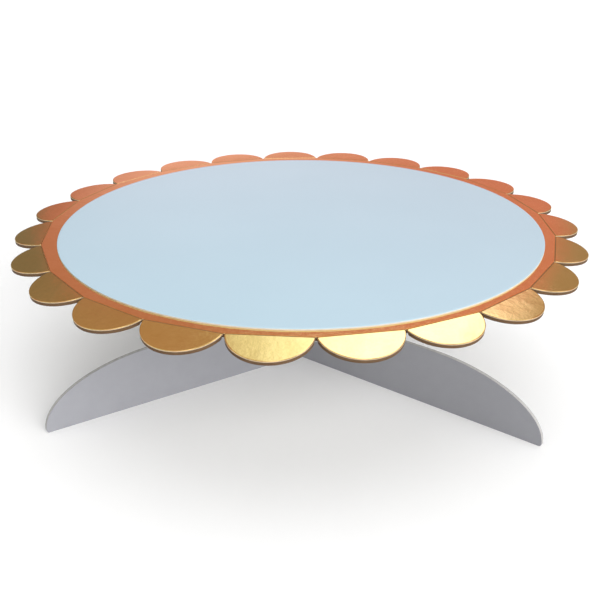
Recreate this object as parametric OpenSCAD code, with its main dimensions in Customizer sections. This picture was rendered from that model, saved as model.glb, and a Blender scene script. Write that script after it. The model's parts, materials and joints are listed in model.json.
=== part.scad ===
// Card cake stand: a laminated round plate with folded scallops on a slotted cross base.
// Millimetres, +Z up. The origin is on the table, where the two legs cross.

/* [Plate] */
// Height of the cake surface above the table
stand_h = 80.7; // [60:0.5:160]
// Diameter of the blue top disc
disc_d = 249.5; // [180:5:320]
// Thickness of the blue top disc
disc_t = 0.7; // [0.6:0.1:2.5]
// How far the blue disc is glued off centre, towards +X
disc_shift_x = 0.9; // [-2.5:0.1:2.5]
// How far the blue disc is glued off centre, towards +Y
disc_shift_y = -1.4; // [-2.5:0.1:2.5]
// Width of the flat gold ring, from the disc's edge to the middle of a crease
ring_w = 5.75; // [4:0.25:30]
// Thickness of the greyboard in the plate and the petals
board_t = 1.6; // [1:0.1:3]
// Thickness of the gold paper on top of the board
gold_t = 0.2; // [0.1:0.05:0.5]
// Thickness of the white paper under the board
liner_t = 0.2; // [0.1:0.05:0.5]

/* [Petals] */
// Number of petals round the rim
petals = 23; // [16:1:32]
// How far a petal reaches out from its crease
petal_len = 16; // [8:0.5:20]
// Turn of the whole rim about the middle of the stand, in degrees
rim_turn = -2.25; // [-8:0.05:8]
// Droop of the petals at the front, below flat, in degrees
droop_front = 9; // [0:1:40]
// Droop of the petals at the back, in degrees; below nought they stand a little above flat
droop_back = -2; // [-5:1:40]
// Furthest that a petal springs up, above flat, in degrees
rise_max = 5; // [5:1:20]
// Furthest that a petal folds down, below flat, in degrees
droop_max = 45; // [40:1:60]
// Gap across a crease
crease_gap = 0.3; // [0.2:0.05:0.6]
// Gap between the corners of two neighbouring petals
notch_gap = 0.5; // [0.3:0.1:3]

/* [Legs] */
// Length of a leg panel, from toe to toe
leg_len = 291; // [240:1:360]
// Smaller angle between the two leg panels, in degrees
cross_angle = 70.4; // [60:0.1:90]
// Height of a foot
foot_h = 31; // [20:0.2:40]
// Length of the rounded end of a foot
foot_round = 61; // [30:1:80]
// Radius of the toe's lower corner
toe_r = 1.5; // [0.5:0.1:4]
// Width of the column in the middle of a leg panel
column_w = 76; // [60:1:90]
// Radius where a foot runs up into the column
waist_r = 18; // [4:0.5:20]
// Width of the shoulders under the plate
shoulder_w = 120; // [110:1:128]
// Height of the shoulders
shoulder_h = 6; // [3:0.5:10]
// Radius where the column runs out into the shoulders
armpit_r = 14; // [3:0.5:16]
// Thickness of the greyboard in a leg
leg_board_t = 1.6; // [1:0.1:3]
// Thickness of the grey paper on each side of a leg
leg_paper_t = 0.2; // [0.1:0.05:0.5]
// Gap on each side of a leg in the other leg's slot
slot_gap = 0.25; // [0.15:0.05:0.5]
// Gap between edges that rest on each other
seat_gap = 0.05; // [0.02:0.01:0.1]

/* [Socket pad] */
// Diameter of the slotted pad glued under the plate
pad_d = 136; // [132:1:180]
// Thickness of the pad
pad_t = 2; // [1.5:0.1:4]
// Width of a leg's tab
tab_w = 14; // [8:1:20]
// Distance from the middle of the stand to the middle of a tab
tab_x = 38; // [28:1:46]
// Gap between a tab and the end of its blind slit
tab_end_gap = 0.3; // [0.2:0.05:0.6]
// Gap on each side of a tab in its slit
tab_gap = 0.3; // [0.2:0.05:0.6]

/* [Hidden] */
petal_step = 360 / petals;
crease_r = disc_d / 2 + ring_w;
rim_r = crease_r / cos(petal_step / 2);
plate_t = gold_t + board_t + liner_t;

z_disc = stand_h - disc_t;
z_board = z_disc - gold_t - board_t;
z_liner = z_board - liner_t;
z_pad = z_liner - pad_t;
z_leg = z_pad - seat_gap;
z_lap = z_leg / 2;

leg_t = leg_board_t + 2 * leg_paper_t;
// Width of the slot that one leg needs where the other crosses it at cross_angle.
slot_w = leg_t * (1 + cos(cross_angle)) / sin(cross_angle) + 2 * slot_gap;
tab_h = pad_t - tab_end_gap;
// From the middle of a leg to the middle of the paper on one of its faces.
paper_offset = (leg_board_t + leg_paper_t) / 2;
// The column's fillets share the height between the foot and the shoulder.
column_h = z_leg - shoulder_h - foot_h;
waist_fillet = min(waist_r, 0.56 * column_h);
armpit_fillet = min(armpit_r, 0.4 * column_h);

// A petal's outline is the circle through its two corners and its tip.
petal_half_w = rim_r * sin(petal_step / 2) - notch_gap / 2;
petal_arc_r = (pow(petal_half_w, 2) + pow(petal_len, 2)) / (2 * petal_len);
// Undercut that lets a petal fold down to droop_max without meeting the plate's edge.
petal_undercut = plate_t * tan(droop_max + 1);

// Facets of a full circle, degrees between the points of a drawn arc, and how far cuts run past a face.
ROUND_FN = 180;
ARC_STEP = 6;
OVERCUT = 1;

function petal_name(i) = str("petal_", i < 10 ? "0" : "", i);

// ---- Leg panels ----

// Points of an arc with its own radius each way, from angle a0 to a1.
function arc(cx, cz, rx, rz, a0, a1) =
    let (steps = max(2, ceil(abs(a1 - a0) / ARC_STEP)))
    [for (i = [0:steps]) let (a = a0 + (a1 - a0) * i / steps) [cx + rx * cos(a), cz + rz * sin(a)]];

// One half of a leg panel's outline, from the toe up to the middle of the top edge.
function half_outline() =
    let (
        toe_x = leg_len / 2,
        column_x = column_w / 2,
        shoulder_x = shoulder_w / 2,
        z_shoulder = z_leg - shoulder_h
    )
    concat(
        arc(toe_x - toe_r, toe_r, toe_r, toe_r, -90, 0),
        arc(toe_x - foot_round, toe_r, foot_round, foot_h - toe_r, 4, 90),
        arc(column_x + waist_fillet, foot_h + waist_fillet, waist_fillet, waist_fillet, 270, 180),
        arc(column_x + armpit_fillet, z_shoulder - armpit_fillet, armpit_fillet, armpit_fillet, 180, 90),
        arc(shoulder_x - shoulder_h, z_leg, shoulder_h, shoulder_h, -90, 0),
        [
            [tab_x + tab_w / 2, z_leg],
            [tab_x + tab_w / 2, z_leg + tab_h],
            [tab_x - tab_w / 2, z_leg + tab_h],
            [tab_x - tab_w / 2, z_leg]
        ]
    );

module leg_outline() {
    half = half_outline();
    last = len(half) - 1;
    polygon(concat(half, [for (i = [0:last]) [-half[last - i][0], half[last - i][1]]]));
}

// A sheet of the leg, t thick, with its middle offset_y from the middle of the panel.
module leg_sheet(t, offset_y, slot_z0, slot_z1) {
    difference() {
        translate([0, offset_y, 0])
            rotate([90, 0, 0])
                linear_extrude(t, center = true)
                    leg_outline();
        translate([-slot_w / 2, -leg_t, slot_z0])
            cube([slot_w, 2 * leg_t, slot_z1 - slot_z0]);
    }
}

// Leg A is slotted down from the top, leg B up from the bottom.
module leg_a_sheet(t, offset_y) {
    rotate([0, 0, -cross_angle / 2])
        leg_sheet(t, offset_y, z_lap - seat_gap, z_leg + tab_h + OVERCUT);
}

module leg_b_sheet(t, offset_y) {
    rotate([0, 0, cross_angle / 2])
        leg_sheet(t, offset_y, -OVERCUT, z_lap);
}

module leg_a_core() {
    color("#b9b9bb") leg_a_sheet(leg_board_t, 0);
}

module leg_a_front_paper() {
    color("#97979c") leg_a_sheet(leg_paper_t, -paper_offset);
}

module leg_a_back_paper() {
    color("#97979c") leg_a_sheet(leg_paper_t, paper_offset);
}

module leg_b_core() {
    color("#b9b9bb") leg_b_sheet(leg_board_t, 0);
}

module leg_b_front_paper() {
    color("#b3b3bd") leg_b_sheet(leg_paper_t, -paper_offset);
}

module leg_b_back_paper() {
    color("#b3b3bd") leg_b_sheet(leg_paper_t, paper_offset);
}

// ---- Plate ----

// A layer of the plate: a polygon with one straight side for each petal.
module plate_layer(z, t) {
    translate([0, 0, z])
        linear_extrude(t)
            polygon([
                for (i = [0:petals - 1])
                    let (a = petal_angle(i + 1) + petal_step / 2)
                    [rim_r * cos(a), rim_r * sin(a)]
            ]);
}

module tab_slits() {
    for (turn = [-1, 1], side = [-1, 1])
        rotate([0, 0, turn * cross_angle / 2])
            translate([side * tab_x, 0, z_pad])
                cube([tab_w + 2 * tab_gap, leg_t + 2 * tab_gap, 2 * pad_t + OVERCUT], center = true);
}

module socket_pad() {
    color("#c9c4ba")
        difference() {
            translate([0, 0, z_pad]) cylinder(d = pad_d, h = pad_t, $fn = ROUND_FN);
            tab_slits();
        }
}

module bottom_liner() {
    color("#f2f1ed") plate_layer(z_liner, liner_t);
}

module plate_core() {
    color("#a8835c") plate_layer(z_board, board_t);
}

module gold_facing() {
    color("#c8763f") plate_layer(z_disc - gold_t, gold_t);
}

module blue_top_disc() {
    color("#c8dbe8")
        translate([disc_shift_x, disc_shift_y, z_disc])
            cylinder(d = disc_d, h = disc_t, $fn = ROUND_FN);
}

// ---- Petals ----

// Petal 1 is at the front, and they are counted anticlockwise from above.
function petal_angle(i) = -90 + rim_turn + (i - 1) * petal_step;

// Droop at rest, which falls evenly from the front of the rim to the back.
function petal_droop(i) =
    let (front = (1 + cos(petal_angle(i) + 90)) / 2)
    droop_back + (droop_front - droop_back) * front;

// A petal lying flat, with the top of its crease along Y through the origin.
module flat_petal() {
    intersection() {
        translate([petal_len - petal_arc_r, 0, -plate_t])
            cylinder(r = petal_arc_r, h = plate_t, $fn = ROUND_FN);
        rotate([90, 0, 0])
            linear_extrude(2 * petal_arc_r, center = true)
                polygon([
                    [0, 0],
                    [2 * petal_undercut, -2 * plate_t],
                    [petal_len + OVERCUT, -2 * plate_t],
                    [petal_len + OVERCUT, 0]
                ]);
    }
}

module petal(i) {
    color("#cf8a4a")
        rotate([0, 0, petal_angle(i)])
            translate([crease_r + crease_gap, 0, z_disc])
                rotate([0, petal_droop(i), 0])
                    flat_petal();
}

leg_a_core();
leg_a_front_paper();
leg_a_back_paper();
leg_b_core();
leg_b_front_paper();
leg_b_back_paper();
socket_pad();
bottom_liner();
plate_core();
gold_facing();
blue_top_disc();
for (i = [1:petals]) petal(i);
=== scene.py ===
"""A card cake stand: a blue disc on a gold scalloped board, on two slotted grey leg panels."""
import json
import math

import bpy
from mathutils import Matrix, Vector

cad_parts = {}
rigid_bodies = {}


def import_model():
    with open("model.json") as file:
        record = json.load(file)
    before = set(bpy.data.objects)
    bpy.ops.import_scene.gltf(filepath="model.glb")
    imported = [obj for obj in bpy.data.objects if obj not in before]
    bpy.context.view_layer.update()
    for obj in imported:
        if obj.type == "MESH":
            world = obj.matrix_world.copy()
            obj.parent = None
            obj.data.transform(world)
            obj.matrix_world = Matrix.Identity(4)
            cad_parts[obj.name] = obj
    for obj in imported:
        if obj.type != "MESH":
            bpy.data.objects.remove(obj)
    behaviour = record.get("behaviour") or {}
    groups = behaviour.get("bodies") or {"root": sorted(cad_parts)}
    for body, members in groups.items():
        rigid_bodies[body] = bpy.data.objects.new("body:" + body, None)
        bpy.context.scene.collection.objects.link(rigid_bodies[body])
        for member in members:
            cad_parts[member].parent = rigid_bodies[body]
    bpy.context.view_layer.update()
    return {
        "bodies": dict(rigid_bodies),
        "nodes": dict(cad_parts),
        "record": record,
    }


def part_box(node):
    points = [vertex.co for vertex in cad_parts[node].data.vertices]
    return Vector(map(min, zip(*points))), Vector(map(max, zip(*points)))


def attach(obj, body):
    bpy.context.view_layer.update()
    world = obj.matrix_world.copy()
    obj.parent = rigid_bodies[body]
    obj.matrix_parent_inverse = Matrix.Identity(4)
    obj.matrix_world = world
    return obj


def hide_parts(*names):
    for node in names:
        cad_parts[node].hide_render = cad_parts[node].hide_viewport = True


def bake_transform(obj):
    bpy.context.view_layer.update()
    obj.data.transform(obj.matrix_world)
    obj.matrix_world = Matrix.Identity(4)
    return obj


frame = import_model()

# ---------------------------------------------------------------- sizes from the frame

MM = 0.001
FLAT = 1e-6                                  # metres within which two heights are the same
LEVEL = 0.99                                 # a face's normal.z when it is level, facing up

disc_low, disc_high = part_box("blue_top_disc")
foil_low, foil_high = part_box("gold_facing")
liner_low, liner_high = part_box("bottom_liner")
DISC_CENTRE = (disc_low + disc_high) / 2
DISC_RADIUS = (disc_high.x - disc_low.x) / 2
DISC_THICK = disc_high.z - disc_low.z
FOIL_THICK = foil_high.z - foil_low.z
LINER_THICK = liner_high.z - liner_low.z
BOARD_THICK = foil_high.z - liner_low.z      # all the layers of the plate and of a petal

JOINTS = {joint["name"]: joint for joint in frame["record"]["behaviour"]["joints"]}
PETALS = sorted(name for name in frame["bodies"] if name.startswith("petal_"))
STEP = 2 * math.pi / len(PETALS)
FOLD_LIMIT = math.radians(45)                # furthest that a petal folds below flat


def petal_hinge(name):
    """A petal's hinge point, the direction it points in and its droop at rest."""
    joint = JOINTS[name + "_fold"]
    hinge = Vector(joint["pos_m"])
    azimuth = math.atan2(hinge.y, hinge.x)
    droop = FOLD_LIMIT - math.radians(joint["range_deg"][1])
    return hinge, azimuth, droop


CREASE_GAP = 0.3 * MM                        # from the plate's edge to a petal's hinge
NOTCH_GAP = 0.5 * MM                         # between the corners of two petals
PETAL_LENGTH = 16 * MM                       # from the hinge to the tip
HINGE_RADIUS = petal_hinge(PETALS[0])[0].xy.length
CREASE_RADIUS = HINGE_RADIUS - CREASE_GAP
HALF_WIDTH = CREASE_RADIUS * math.tan(STEP / 2) - NOTCH_GAP / 2
PETAL_ROUND = (HALF_WIDTH ** 2 + PETAL_LENGTH ** 2) / (2 * PETAL_LENGTH)

# ---------------------------------------------------------------- materials


class Wire:
    """A node's output. Arithmetic on it adds the Math nodes that the sum needs."""

    def __init__(self, recipe, socket):
        self.recipe = recipe
        self.socket = socket

    def math(self, operation, first, second):
        return self.recipe.node("ShaderNodeMath", {"operation": operation}, {0: first, 1: second})

    def __add__(self, other):
        return self.math("ADD", self, other)

    def __radd__(self, other):
        return self.math("ADD", other, self)

    def __sub__(self, other):
        return self.math("SUBTRACT", self, other)

    def __mul__(self, other):
        return self.math("MULTIPLY", self, other)

    def size(self):
        """The value without its sign."""
        return self.math("ABSOLUTE", self, 0.0)

    def least(self, other):
        """The smaller of two values."""
        return self.math("MINIMUM", self, other)


class Recipe:
    """The nodes of one material, or of the world."""

    def __init__(self, tree):
        self.tree = tree
        tree.nodes.clear()

    def node(self, kind, settings=None, sockets=None, output=0):
        """Adds a node, sets it, feeds its sockets and returns one of its outputs."""
        made = self.tree.nodes.new(kind)
        for name, value in (settings or {}).items():
            setattr(made, name, value)
        for key, value in (sockets or {}).items():
            socket = made.inputs[key]
            if isinstance(value, Wire):
                self.tree.links.new(value.socket, socket)
            else:
                socket.default_value = value
        return Wire(self, made.outputs[output]) if made.outputs else None

    def place(self, scale):
        """Object coordinates, scaled."""
        where = self.node("ShaderNodeTexCoord", output="Object")
        return self.node("ShaderNodeMapping", None, {"Vector": where, "Scale": scale})

    def noise(self, size, detail=2.0, roughness=0.5, stretch=(1, 1, 1)):
        """Noise about nought to one, with features of the given size in metres."""
        where = self.place(stretch)
        sockets = {"Vector": where, "Scale": 1 / size, "Detail": detail, "Roughness": roughness}
        return self.node("ShaderNodeTexNoise", None, sockets, output="Fac")

    def spread(self, value, low, high):
        """value, stretched so that low to high becomes nought to one."""
        sockets = {"Value": value, "From Min": low, "From Max": high}
        return self.node("ShaderNodeMapRange", {"clamp": True}, sockets)

    def blend(self, first, second, amount):
        """A colour part of the way from the first to the second."""
        sockets = {0: amount, 6: paint(first), 7: paint(second)}
        return self.node("ShaderNodeMix", {"data_type": "RGBA"}, sockets, output=2)

    def bump(self, height, depth, normal=None):
        """A normal for a height between nought and one that is depth metres deep."""
        sockets = {"Height": height, "Distance": depth, "Strength": 1.0}
        if normal is not None:
            sockets["Normal"] = normal
        return self.node("ShaderNodeBump", None, sockets)

    def finish(self, **sockets):
        """The surface shader, with its sockets given by name."""
        named = {name.replace("_", " "): value for name, value in sockets.items()}
        shader = self.node("ShaderNodeBsdfPrincipled", None, named)
        self.node("ShaderNodeOutputMaterial", None, {"Surface": shader})


def paint(colour):
    """A colour with its alpha, or a wire as it is."""
    return colour if isinstance(colour, Wire) else (*colour, 1)


def recipe(name):
    """A new material and the recipe for its nodes."""
    material = bpy.data.materials.new(name)
    material.use_nodes = True
    return material, Recipe(material.node_tree)


def gold_foil():
    """Gold foil paper: mirror-like, a little wavy, with a fine speckled unevenness."""
    material, mix = recipe("gold_foil")
    wave = mix.noise(11 * MM, 2.0, 0.5)
    mottle = mix.noise(1.5 * MM, 3.0, 0.6)
    speck = mix.noise(0.4 * MM, 2.0, 0.6)
    tone = mix.spread(wave * 0.4 + mottle * 0.35 + speck * 0.25, 0.35, 0.65)
    smear = mix.spread(mottle * 0.6 + speck * 0.4, 0.3, 0.7)
    waviness = mix.bump(wave, 0.12 * MM)
    unevenness = mix.bump(mottle, 0.03 * MM, waviness)
    mix.finish(
        Base_Color=mix.blend((0.89, 0.65, 0.27), (0.96, 0.73, 0.34), tone),
        Metallic=1.0,
        Roughness=0.09 + smear * 0.09,
        Normal=mix.bump(speck, 0.004 * MM, unevenness),
    )
    return material


def blue_paper():
    """Matt pale blue paper with a soft sheen and fine fibres."""
    material, mix = recipe("blue_paper")
    cloud = mix.noise(60 * MM, 2.0)
    fibre = mix.noise(0.5 * MM, 3.0, 0.7, (1, 4, 1))
    tone = mix.spread(cloud * 0.5 + fibre * 0.5, 0.3, 0.7)
    mix.finish(
        Base_Color=mix.blend((0.470, 0.658, 0.762), (0.495, 0.684, 0.788), tone),
        Roughness=0.22 + fibre * 0.08,
        Specular_IOR_Level=0.5,
        Normal=mix.bump(fibre, 0.012 * MM),
    )
    return material


def layered_board(name, dark, light, layer=0.16 * MM):
    """A cut edge of board, with its pressed layers and a few darker fibres."""
    material, mix = recipe(name)
    layers = mix.noise(layer, 2.0, 0.6, (0.06, 0.06, 1))
    specks = mix.noise(0.35 * MM, 3.0, 0.7)
    tone = mix.spread(layers * 0.65 + specks * 0.35, 0.33, 0.67)
    mix.finish(
        Base_Color=mix.blend(dark, light, tone),
        Roughness=0.85,
        Specular_IOR_Level=0.25,
        Normal=mix.bump(tone, 0.06 * MM),
    )
    return material


def plain_paper(name, dark, light):
    """Smooth uncoated paper with clouded pulp and short fibres."""
    material, mix = recipe(name)
    pulp = mix.noise(7 * MM, 3.0, 0.6)
    fibre = mix.noise(0.45 * MM, 3.0, 0.75)
    tone = mix.spread(pulp * 0.6 + fibre * 0.4, 0.32, 0.68)
    mix.finish(
        Base_Color=mix.blend(dark, light, tone),
        Roughness=0.6 + fibre * 0.12,
        Specular_IOR_Level=0.4,
        Normal=mix.bump(fibre, 0.02 * MM),
    )
    return material


def floor_paint():
    """The pale floor that the stand is shown on."""
    material, mix = recipe("pale_floor")
    grain = mix.noise(3 * MM, 2.0)
    mix.finish(
        Base_Color=(0.93, 0.93, 0.93, 1),
        Roughness=0.85 + grain * 0.05,
        Specular_IOR_Level=0.1,
        Emission_Color=(1, 1, 1, 1),
        Emission_Strength=0.08,
    )
    return material


FOIL = gold_foil()
BLUE = blue_paper()
CREAM_EDGE = layered_board("cream_card_edge", (0.66, 0.60, 0.50), (0.86, 0.82, 0.74))
FOIL_EDGE = layered_board("foil_paper_edge", (0.50, 0.37, 0.23), (0.74, 0.60, 0.42), 0.1 * MM)
# painted shade: the first wall of the pressed crease gets dark brown board instead of gold foil, a
# darkened line standing in for the groove's shade
CREASE_SHADE = layered_board("painted_crease_shade", (0.20, 0.10, 0.045), (0.34, 0.18, 0.08), 0.1 * MM)
BROWN_EDGE = layered_board("brown_board_edge", (0.08, 0.045, 0.024), (0.19, 0.115, 0.062))
PAD_BOARD = layered_board("grey_pad_board", (0.38, 0.36, 0.33), (0.52, 0.50, 0.46))
LEG_BOARD = layered_board("leg_board_edge", (0.40, 0.39, 0.38), (0.55, 0.54, 0.53))
LINER = plain_paper("white_liner", (0.74, 0.73, 0.70), (0.84, 0.83, 0.80))
LEG_PAPER = plain_paper("leg_paper", (0.312, 0.315, 0.340), (0.332, 0.335, 0.360))

# ---------------------------------------------------------------- modelling helpers


def start_editing():
    bpy.ops.object.mode_set(mode="EDIT")
    bpy.ops.mesh.select_mode(type="VERT")


def stop_editing():
    bpy.ops.object.mode_set(mode="OBJECT")


def cut(point, normal, remove=False):
    """Cuts the mesh in edit mode with a plane, and may close off what lies behind it."""
    bpy.ops.mesh.select_all(action="SELECT")
    bpy.ops.mesh.bisect(plane_co=point, plane_no=normal, clear_inner=remove, use_fill=remove)


def select_vertices(piece, wanted):
    """Selects the vertices that wanted(co) is true for, and leaves the piece in edit mode."""
    stop_editing()
    for polygon in piece.data.polygons:
        polygon.select = False
    for edge in piece.data.edges:
        edge.select = False
    for vertex in piece.data.vertices:
        vertex.select = wanted(vertex.co)
    start_editing()


def select_edges(piece, wanted):
    """Selects the edges with both ends where wanted(co) is true, and leaves it in edit mode."""
    stop_editing()
    points = piece.data.vertices
    for polygon in piece.data.polygons:
        polygon.select = False
    for vertex in points:
        vertex.select = False
    for edge in piece.data.edges:
        edge.select = all(wanted(points[end].co) for end in edge.vertices)
    bpy.ops.object.mode_set(mode="EDIT")
    bpy.ops.mesh.select_mode(type="EDGE")


def select_faces(piece, wanted):
    """Selects the faces that wanted(face) is true for, and leaves the piece in edit mode."""
    stop_editing()
    for vertex in piece.data.vertices:
        vertex.select = False
    for edge in piece.data.edges:
        edge.select = False
    for polygon in piece.data.polygons:
        polygon.select = wanted(polygon)
    bpy.ops.object.mode_set(mode="EDIT")
    bpy.ops.mesh.select_mode(type="FACE")


def frame_top(piece, width):
    """Insets the flat top, so that the rounding at its rim isn't shaded across all of it."""
    stop_editing()                           # brings the faces up to date before they are measured
    top = max(face.area for face in piece.data.polygons if face.normal.z > LEVEL)
    select_faces(piece, lambda face: face.normal.z > LEVEL and face.area > top * 0.99)
    bpy.ops.mesh.inset(thickness=width, depth=0)
    bpy.ops.mesh.select_mode(type="VERT")


def move_up(distance):
    bpy.ops.transform.translate(value=(0, 0, distance))


def give_materials(piece, materials, choose):
    """Gives each face the material whose number choose(face) says."""
    piece.data.materials.clear()
    for material in materials:
        piece.data.materials.append(material)
    for polygon in piece.data.polygons:
        polygon.material_index = choose(polygon)


def settle(piece, sharp=18):
    """Puts the piece's place into its mesh and smooths all but its sharp edges."""
    bpy.ops.object.select_all(action="DESELECT")
    piece.select_set(True)
    bpy.context.view_layer.objects.active = piece
    bpy.ops.object.transform_apply(location=True, rotation=True, scale=True)
    bpy.ops.object.shade_smooth_by_angle(angle=math.radians(sharp))


def repaint(node, material):
    for slot in frame["nodes"][node].material_slots:
        slot.material = material


# ---------------------------------------------------------------- petals

WEB = 0.35 * MM                              # board left uncut above the scored groove
SCORE_ANGLE = math.radians(50)
GROOVE_LINES = (-0.1 * MM, 0.2 * MM, 1.4 * MM)    # sides and middle of the pressed crease; between the first two its wall is painted dark as shade
GROOVE_DEPTH = 0.25 * MM
RIM_ROUND = 0.3 * MM                         # rounded top edge left by the die
RIM_FRAME = 0.35 * MM                        # narrow flat band inside the rounding
RIM_FOIL_SLOPE = 0.3                         # least normal.z of a face that the foil covers
UNDERSIDE = -0.9                             # most normal.z of a face of the liner
OUTLINE_CLOSE = 0.02 * MM
CURL = math.radians(0.3)                      # how much a petal turns down at each curl line
CURL_LINES = (3 * MM, 5.5 * MM, 8 * MM, 10.5 * MM, 13 * MM)


def on_outline(co):
    return abs(math.hypot(co.x - (PETAL_LENGTH - PETAL_ROUND), co.y) - PETAL_ROUND) < OUTLINE_CLOSE


def petal_material(polygon):
    """0 foil on top, 1 foil paper's edge, 2 board, 3 white liner, 4 painted shade on the pressed
    crease's first wall.
    """
    up = polygon.normal.z
    height = polygon.center.z
    if up > RIM_FOIL_SLOPE and height > -RIM_ROUND - FLAT:
        # the crease's first wall is painted dark brown, as shade in the groove
        return 4 if GROOVE_LINES[0] < polygon.center.x < GROOVE_LINES[1] else 0
    if up < UNDERSIDE:
        return 3
    return 1 if height > -RIM_ROUND - FOIL_THICK else 2


def model_petal():
    """One petal lying flat, with the top of its crease along Y through the origin."""
    bpy.ops.object.select_all(action="DESELECT")
    bpy.ops.mesh.primitive_cylinder_add(
        vertices=96,
        radius=PETAL_ROUND,
        depth=BOARD_THICK,
        location=(PETAL_LENGTH - PETAL_ROUND, 0, -BOARD_THICK / 2),
    )
    petal = bpy.context.object
    bpy.ops.object.transform_apply(location=True)
    start_editing()
    cut((-CREASE_GAP, 0, 0), (1, 0, 0), remove=True)
    slope = (math.cos(SCORE_ANGLE), 0, math.sin(SCORE_ANGLE))
    cut((-CREASE_GAP, 0, -WEB), slope, remove=True)
    select_edges(petal, lambda co: abs(co.z) < FLAT and on_outline(co))
    bpy.ops.mesh.bevel(offset=RIM_ROUND, segments=6)
    frame_top(petal, RIM_FRAME)
    cut((0, 0, -RIM_ROUND - FOIL_THICK), (0, 0, 1))
    cut((0, 0, LINER_THICK - BOARD_THICK), (0, 0, 1))
    for across in GROOVE_LINES + CURL_LINES:
        cut((across, 0, 0), (1, 0, 0))
    stop_editing()
    give_materials(petal, (FOIL, FOIL_EDGE, BROWN_EDGE, LINER, CREASE_SHADE), petal_material)
    crease = GROOVE_LINES[1]
    select_vertices(petal, lambda co: abs(co.x - crease) < FLAT and co.z > -RIM_ROUND)
    move_up(-GROOVE_DEPTH)
    for across in CURL_LINES:
        select_vertices(petal, lambda co: co.x > across + FLAT)
        bpy.ops.transform.rotate(
            value=-CURL, orient_axis="Y", center_override=(across, 0, -BOARD_THICK / 2)
        )
    stop_editing()
    return petal


def lay_petals():
    """Copies the petal to each place on the rim, bent across its crease."""
    pattern = model_petal()
    for name in PETALS:
        hinge, azimuth, droop = petal_hinge(name)
        piece = pattern.copy()
        piece.data = pattern.data.copy()
        piece.name = name + "_board"
        bpy.context.collection.objects.link(piece)
        piece.location = hinge
        piece.rotation_euler = (0, droop, azimuth)
        settle(piece)
        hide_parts(name)
        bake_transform(piece)
    bpy.data.objects.remove(pattern)


# ---------------------------------------------------------------- blue disc

DISC_ROUND = 0.2 * MM
DISC_FRAME = 1 * MM                          # flat band inside the rounding
DISC_BLUE_SLOPE = 0.4                        # least normal.z of a face that the paper covers


def disc_material(face):
    """0 blue paper on top, 1 the cut edge of the cream card."""
    return 0 if face.normal.z > DISC_BLUE_SLOPE else 1


def lay_disc():
    """The pale blue card disc: blue paper over cream card, its top edge a little rounded."""
    bpy.ops.object.select_all(action="DESELECT")
    bpy.ops.mesh.primitive_cylinder_add(
        vertices=360, radius=DISC_RADIUS, depth=DISC_THICK, location=DISC_CENTRE
    )
    disc = bpy.context.object
    disc.name = "blue_disc"
    bpy.ops.object.transform_apply(location=True)
    select_edges(disc, lambda co: abs(co.z - disc_high.z) < FLAT)
    bpy.ops.mesh.bevel(offset=DISC_ROUND, segments=3)
    frame_top(disc, DISC_FRAME)
    stop_editing()
    give_materials(disc, (BLUE, CREAM_EDGE), disc_material)
    settle(disc)
    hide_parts("blue_top_disc")
    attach(disc, "plate")


# ---------------------------------------------------------------- light, floor and camera

CAMERA_TURN = math.radians(2.79)             # from straight in front, towards +X
CAMERA_AWAY = 0.4076
CAMERA_HEIGHT = 0.2238
CAMERA_DOWN = math.radians(24.90)
CAMERA_ASIDE = math.radians(0.05)
LENS = 48.55
AMBIENT = 0.35
FLOOR_SIZE = 8
CARD_ASIDE = -0.035                          # where the warm card's middle lies, along X
BOX_ASIDE = 0.08                             # the same for the bright soft box

# toward, softness in degrees, strength
KEY_LIGHT = (0.62, -0.72, 0.34), 50, 2.7
TOP_LIGHT = (0.05, 0.1, 1), 70, 1.5


def set_camera():
    data = bpy.data.cameras.new("camera")
    data.sensor_width = 36
    data.lens = LENS
    camera = bpy.data.objects.new("camera", data)
    camera.location = (
        CAMERA_AWAY * math.sin(CAMERA_TURN),
        -CAMERA_AWAY * math.cos(CAMERA_TURN),
        CAMERA_HEIGHT,
    )
    camera.rotation_euler = (math.pi / 2 - CAMERA_DOWN, 0, CAMERA_TURN - CAMERA_ASIDE)
    bpy.context.collection.objects.link(camera)
    bpy.context.scene.camera = camera


def set_floor():
    bpy.ops.object.select_all(action="DESELECT")
    bpy.ops.mesh.primitive_plane_add(size=FLOOR_SIZE)
    floor = bpy.context.object
    floor.name = "floor"
    floor.data.materials.append(floor_paint())


def set_sun(name, toward, softness, power):
    """Light from far off, from the side that toward points to, with soft shadows."""
    data = bpy.data.lights.new(name, "SUN")
    data.energy = power
    data.angle = math.radians(softness)
    sun = bpy.data.objects.new(name, data)
    sun.rotation_euler = Vector(toward).to_track_quat("Z", "Y").to_euler()
    sun.visible_glossy = False
    bpy.context.collection.objects.link(sun)


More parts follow.
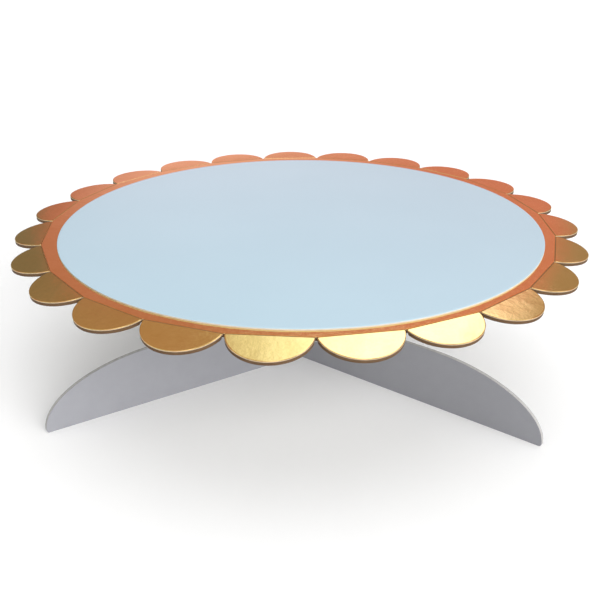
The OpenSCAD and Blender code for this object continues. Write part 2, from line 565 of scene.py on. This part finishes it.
def set_world():
    """White all round, but what the foil mirrors is a warm card low down, olive and brown
    walls to its sides, a bright soft box above it and a dimmer ceiling overhead."""
    world = bpy.data.worlds.new("studio")
    bpy.context.scene.world = world
    world.use_nodes = True
    mix = Recipe(world.node_tree)
    direction = mix.node("ShaderNodeTexCoord", output="Generated")
    x = mix.node("ShaderNodeSeparateXYZ", None, {0: direction}, output="X")
    y = mix.node("ShaderNodeSeparateXYZ", None, {0: direction}, output="Y")
    z = mix.node("ShaderNodeSeparateXYZ", None, {0: direction}, output="Z")
    card_away = (x - CARD_ASIDE).size().least(y.size())
    box_away = (x - BOX_ASIDE).size().least(y.size())
    low_wall = mix.blend((0.22, 0.185, 0.135), (0.38, 0.28, 0.19), mix.spread(x, -0.3, 0.3))
    wall = mix.blend(low_wall, (0.45, 0.29, 0.19), mix.spread(z, 0.40, 0.64))
    low_card = mix.blend((0.50, 0.20, 0.165), (0.88, 0.48, 0.48), mix.spread(x, -0.36, -0.22))
    left_card = mix.blend(low_card, (0.50, 0.215, 0.17), mix.spread(z, 0.30, 0.38))
    warm = mix.blend(left_card, (0.65, 0.25, 0.21), mix.spread(x, -0.12, 0.12))
    card = mix.blend(wall, warm, mix.spread(card_away, 0.378, 0.328))
    glow = mix.blend((1.0, 1.1, 0.95), (2.2, 2.2, 2.3), mix.spread(x, -0.10, 0.10))
    box = mix.blend(wall, glow, mix.spread(box_away, 0.28, 0.16))
    upright = mix.blend(card, box, mix.spread(z, 0.48, 0.58))
    seen = mix.blend(upright, (0.85, 0.78, 0.68), mix.spread(z, 0.82, 0.94))
    glossy = mix.node("ShaderNodeLightPath", output="Is Glossy Ray")
    camera = mix.node("ShaderNodeLightPath", output="Is Camera Ray")
    plain = mix.blend((AMBIENT, AMBIENT, AMBIENT), (1.0, 1.0, 1.0), camera)
    colour = mix.blend(plain, seen, glossy)
    light = mix.node("ShaderNodeBackground", None, {"Color": colour, "Strength": 1.0})
    mix.node("ShaderNodeOutputWorld", None, {"Surface": light})


def set_studio():
    scene = bpy.context.scene
    scene.view_settings.view_transform = "Standard"
    set_camera()
    set_floor()
    set_world()
    set_sun("key_light", *KEY_LIGHT)
    set_sun("top_light", *TOP_LIGHT)


# ---------------------------------------------------------------- the stand

set_studio()
lay_petals()
lay_disc()
repaint("gold_facing", FOIL)
repaint("plate_core", BROWN_EDGE)
repaint("bottom_liner", LINER)
repaint("socket_pad", PAD_BOARD)
for leg in ("leg_a", "leg_b"):
    repaint(leg + "_core", LEG_BOARD)
    repaint(leg + "_front_paper", LEG_PAPER)
    repaint(leg + "_back_paper", LEG_PAPER)
